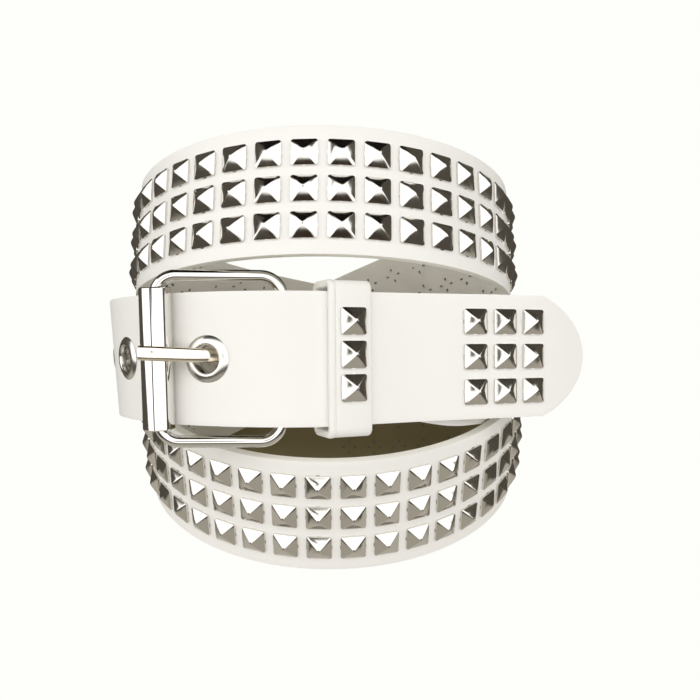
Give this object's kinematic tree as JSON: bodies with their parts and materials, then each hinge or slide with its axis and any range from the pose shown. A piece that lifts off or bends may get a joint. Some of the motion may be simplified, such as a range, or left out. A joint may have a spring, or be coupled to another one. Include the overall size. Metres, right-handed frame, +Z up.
{
  "type": "studded belt, coiled and buckled",
  "caption": "White belt with three rows of pyramid studs, eyelets, a roller buckle and a keeper, lying coiled in three turns.",
  "frame": {"origin": "middle of the belt's foot on the surface that the coil lies on", "axes": "+Z up out of that surface, the side with the buckle facing up; +Y across the turns towards the upper studded turn; +X from the buckle towards the tip"},
  "size_m": [0.1618, 0.132, 0.1103],
  "materials": {
    "white_leather": "satin",
    "chrome": "polished"
  },
  "bodies": {
    "root": {"studded_strap": "white_leather", "tip_stud_1": "chrome", "tip_stud_2": "chrome", "tip_stud_3": "chrome", "tip_stud_4": "chrome", "tip_stud_5": "chrome", "tip_stud_6": "chrome", "tip_stud_7": "chrome", "tip_stud_8": "chrome", "tip_stud_9": "chrome", "eyelet_1": "chrome", "eyelet_2": "chrome", "eyelet_3": "chrome", "eyelet_4": "chrome", "eyelet_5": "chrome", "buckle_frame": "chrome", "roller": "chrome", "prong": "chrome", "keeper": "white_leather", "keeper_stud_1": "chrome", "keeper_stud_2": "chrome", "keeper_stud_3": "chrome"}
  },
  "joints": []
}
